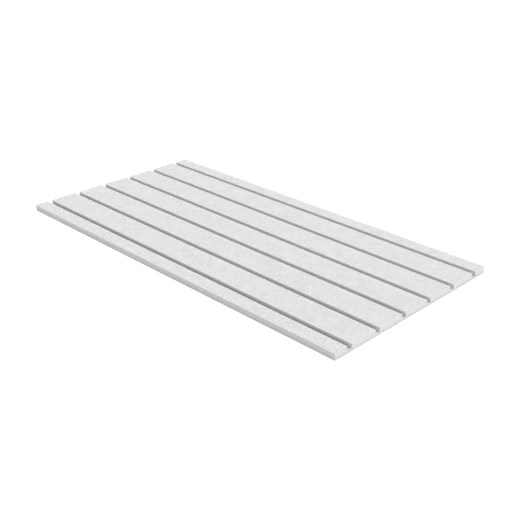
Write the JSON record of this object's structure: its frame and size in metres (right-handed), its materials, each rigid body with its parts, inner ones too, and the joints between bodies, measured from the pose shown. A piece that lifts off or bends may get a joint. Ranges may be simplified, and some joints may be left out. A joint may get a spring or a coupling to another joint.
{
  "type": "slatted felt panel",
  "caption": "Flat rectangular felt panel: lengthwise pressed-felt strips bonded to a thin felt backing, with straight square grooves between them, open at both ends.",
  "frame": {"origin": "centre of the flat back face", "axes": "+X along the strips and the panel's length, +Y across the strips, +Z out of the slatted front"},
  "size_m": [1.2, 0.6, 0.018],
  "materials": {
    "face_felt": "matt pale grey pressed polyester felt",
    "backing_felt": "matt pale grey pressed polyester felt",
    "glue_film": "milky heat-activated glue film"
  },
  "bodies": {
    "root": {"backing_sheet": "backing_felt", "edge_strip_front": "face_felt", "face_strip_1": "face_felt", "face_strip_2": "face_felt", "face_strip_3": "face_felt", "face_strip_4": "face_felt", "face_strip_5": "face_felt", "edge_strip_rear": "face_felt", "bond_film_edge_strip_front": "glue_film", "bond_film_face_strip_1": "glue_film", "bond_film_face_strip_2": "glue_film", "bond_film_face_strip_3": "glue_film", "bond_film_face_strip_4": "glue_film", "bond_film_face_strip_5": "glue_film", "bond_film_edge_strip_rear": "glue_film"}
  },
  "joints": []
}
